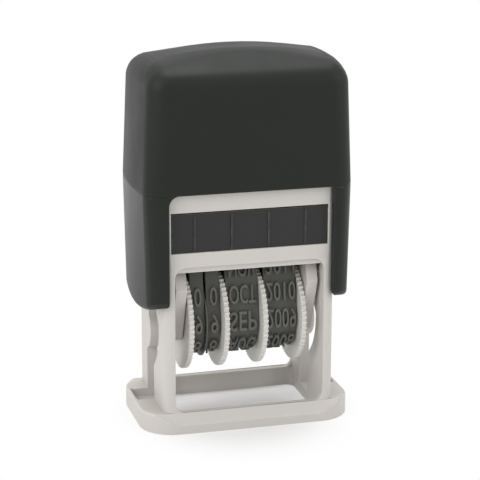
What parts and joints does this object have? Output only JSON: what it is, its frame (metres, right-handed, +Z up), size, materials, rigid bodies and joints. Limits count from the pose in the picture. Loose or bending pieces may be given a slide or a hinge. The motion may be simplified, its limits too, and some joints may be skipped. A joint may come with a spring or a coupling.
{
  "type": "self-inking date stamp",
  "caption": "Self-inking date stamp: a hood slides on a frame and flips a unit of toothed wheels and date bands from the ink pad down to the paper.",
  "frame": {"origin": "middle of the base's underside, where the stamp stands on the paper", "axes": "+Z up along the press stroke, -Y towards the front with the grip ribs, +X to the right"},
  "size_m": [0.044, 0.026, 0.0769],
  "materials": {
    "hood_black": "satin black moulded plastic with a fine grain",
    "frame_grey": "light warm grey moulded plastic, satin",
    "tray_black": "matt black moulded plastic",
    "felt": "felt soaked in black ink",
    "band_rubber": "dark grey rubber with raised type",
    "wheel_grey": "light grey moulded plastic",
    "bridge_grey": "grey moulded plastic",
    "steel": "bright steel"
  },
  "bodies": {
    "frame": {"frame": "frame_grey", "pad_tray": "tray_black", "ink_pad": "felt", "return_spring": "steel"},
    "hood": {"hood": "hood_black", "pivot_pin_left": "frame_grey", "pivot_pin_right": "frame_grey"},
    "date_unit": {"cheek_left": "frame_grey", "cheek_right": "frame_grey", "print_bridge": "bridge_grey", "wheel_axle": "steel", "axle_clip_left": "steel", "axle_clip_right": "steel", "follower_pin_left": "frame_grey", "follower_pin_right": "frame_grey", "day_divider": "wheel_grey", "band_day_tens": "band_rubber", "band_day_units": "band_rubber", "band_month": "band_rubber", "band_year": "band_rubber"},
    "wheel_day_tens": {"wheel_day_tens": "wheel_grey"},
    "wheel_day_units": {"wheel_day_units": "wheel_grey"},
    "wheel_month": {"wheel_month": "wheel_grey"},
    "wheel_year": {"wheel_year": "wheel_grey"}
  },
  "joints": [
    {"name": "hood_press", "type": "slide", "parent": "frame", "child": "hood", "axis": [0, 0, -1], "range_m": [0, 0.0192], "stiffness_N_per_m": 300, "springref_m": -0.012, "deforming": ["return_spring"]},
    {"name": "unit_flip", "type": "hinge", "parent": "hood", "child": "date_unit", "pos_m": [0, 0, 0.0292], "axis": [-1, 0, 0], "range_deg": [0, 180]},
    {"name": "day_tens_turn", "type": "hinge", "parent": "date_unit", "child": "wheel_day_tens", "pos_m": [0, 0, 0.0207], "axis": [1, 0, 0], "continuous": true},
    {"name": "day_units_turn", "type": "hinge", "parent": "date_unit", "child": "wheel_day_units", "pos_m": [0, 0, 0.0207], "axis": [1, 0, 0], "continuous": true},
    {"name": "month_turn", "type": "hinge", "parent": "date_unit", "child": "wheel_month", "pos_m": [0, 0, 0.0207], "axis": [1, 0, 0], "continuous": true},
    {"name": "year_turn", "type": "hinge", "parent": "date_unit", "child": "wheel_year", "pos_m": [0, 0, 0.0207], "axis": [1, 0, 0], "continuous": true}
  ],
  "couplings": [
    {"joint": "unit_flip", "follows": "hood_press", "rad_per_m": 163.62}
  ]
}
